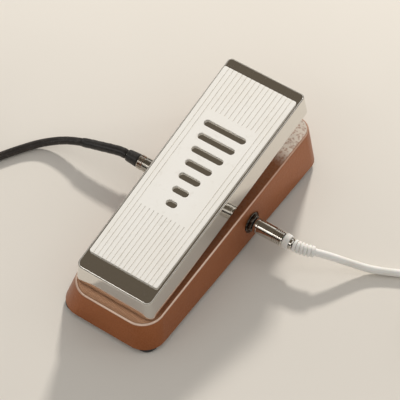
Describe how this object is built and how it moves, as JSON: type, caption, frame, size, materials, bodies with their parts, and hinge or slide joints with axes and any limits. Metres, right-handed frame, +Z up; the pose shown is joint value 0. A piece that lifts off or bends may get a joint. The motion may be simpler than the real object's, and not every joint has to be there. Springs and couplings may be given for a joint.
{
  "type": "rocker foot pedal",
  "caption": "Rocker foot pedal: painted cast base, chrome treadle with ribbed cream mat, side jacks, and a white and a black instrument lead plugged in and coiled.",
  "frame": {"origin": "on the floor, under the middle of the base housing", "axes": "+Z up, +Y toward the toe end, +X toward the jack that holds the white lead"},
  "size_m": [0.7096, 0.253, 0.0896],
  "materials": {
    "copper_paint": "hammered copper brown enamel",
    "chrome": "polished chrome plate",
    "cream_rubber": "matt cream rubber with moulded grooves",
    "black_rubber": "matt black rubber",
    "zinc_steel": "zinc plated",
    "dark_steel": "blackened steel",
    "white_nylon": "natural nylon",
    "green_board": "green circuit board",
    "black_plastic": "satin black plastic",
    "battery_case": "plain dark sleeve, no print",
    "nickel": "nickel plate",
    "white_cable": "smooth white jacket",
    "black_cable": "smooth black jacket"
  },
  "bodies": {
    "base": {"base_housing": "copper_paint", "bottom_plate": "dark_steel", "foot_heel_left": "black_rubber", "foot_heel_right": "black_rubber", "foot_toe_left": "black_rubber", "foot_toe_right": "black_rubber", "foot_screw_heel_left": "zinc_steel", "foot_screw_heel_right": "zinc_steel", "foot_screw_toe_left": "zinc_steel", "foot_screw_toe_right": "zinc_steel", "pivot_bushing_left": "white_nylon", "pivot_bushing_right": "white_nylon", "tension_block": "white_nylon", "tension_screw": "zinc_steel", "rack_guide": "white_nylon", "pot_bracket": "zinc_steel", "pot_bracket_screw": "zinc_steel", "pot_body": "nickel", "pot_nut": "nickel", "toe_switch_body": "black_plastic", "toe_switch_nut": "nickel", "heel_bumper": "black_rubber", "toe_bumper": "black_rubber", "circuit_board": "green_board", "board_screw_heel": "zinc_steel", "board_screw_toe": "zinc_steel", "inductor": "nickel", "capacitor": "battery_case", "transistor_heel": "nickel", "transistor_toe": "nickel", "battery": "battery_case", "battery_snap": "black_plastic", "jack_body_left": "black_plastic", "jack_body_right": "black_plastic", "jack_washer_left": "dark_steel", "jack_washer_right": "dark_steel", "jack_nut_left": "dark_steel", "jack_nut_right": "dark_steel", "right_lead_plug": "chrome", "right_lead_collar": "white_cable", "right_lead_relief": "white_cable", "right_lead_cord": "white_cable", "right_lead_coil": "white_cable", "right_lead_far_plug": "chrome", "left_lead_plug": "nickel", "left_lead_collar": "black_plastic", "left_lead_sleeve": "black_plastic", "left_lead_cord": "black_cable", "left_lead_coil": "black_cable", "left_lead_far_plug": "nickel"},
    "treadle_assembly": {"treadle": "chrome", "treadle_mat": "cream_rubber", "pivot_shaft": "zinc_steel", "shaft_set_screw_left": "zinc_steel", "shaft_set_screw_right": "zinc_steel", "rack_pin": "zinc_steel"},
    "rack": {"gear_rack": "white_nylon"},
    "pinion": {"pinion_gear": "white_nylon", "pot_shaft": "nickel"},
    "plunger": {"toe_switch_plunger": "nickel"}
  },
  "joints": [
    {"name": "treadle_rock", "type": "hinge", "parent": "base", "child": "treadle_assembly", "pos_m": [0, -0.002, 0.05], "axis": [-1, 0, 0], "range_deg": [0, 8.5]},
    {"name": "rack_travel", "type": "slide", "parent": "base", "child": "rack", "axis": [0, 0, -1], "range_m": [0, 0.0089]},
    {"name": "pot_turn", "type": "hinge", "parent": "base", "child": "pinion", "pos_m": [0, 0.06652, 0.022], "axis": [1, 0, 0], "range_deg": [0, 85]},
    {"name": "toe_switch_press", "type": "slide", "parent": "base", "child": "plunger", "axis": [0, 0, -1], "range_m": [0, 0.0025], "stiffness_N_per_m": 1200, "springref_m": -0.002}
  ],
  "couplings": [
    {"joint": "rack_travel", "follows": "treadle_rock", "m_per_rad": 0.05995},
    {"joint": "pot_turn", "follows": "treadle_rock", "ratio": 9.9917}
  ]
}
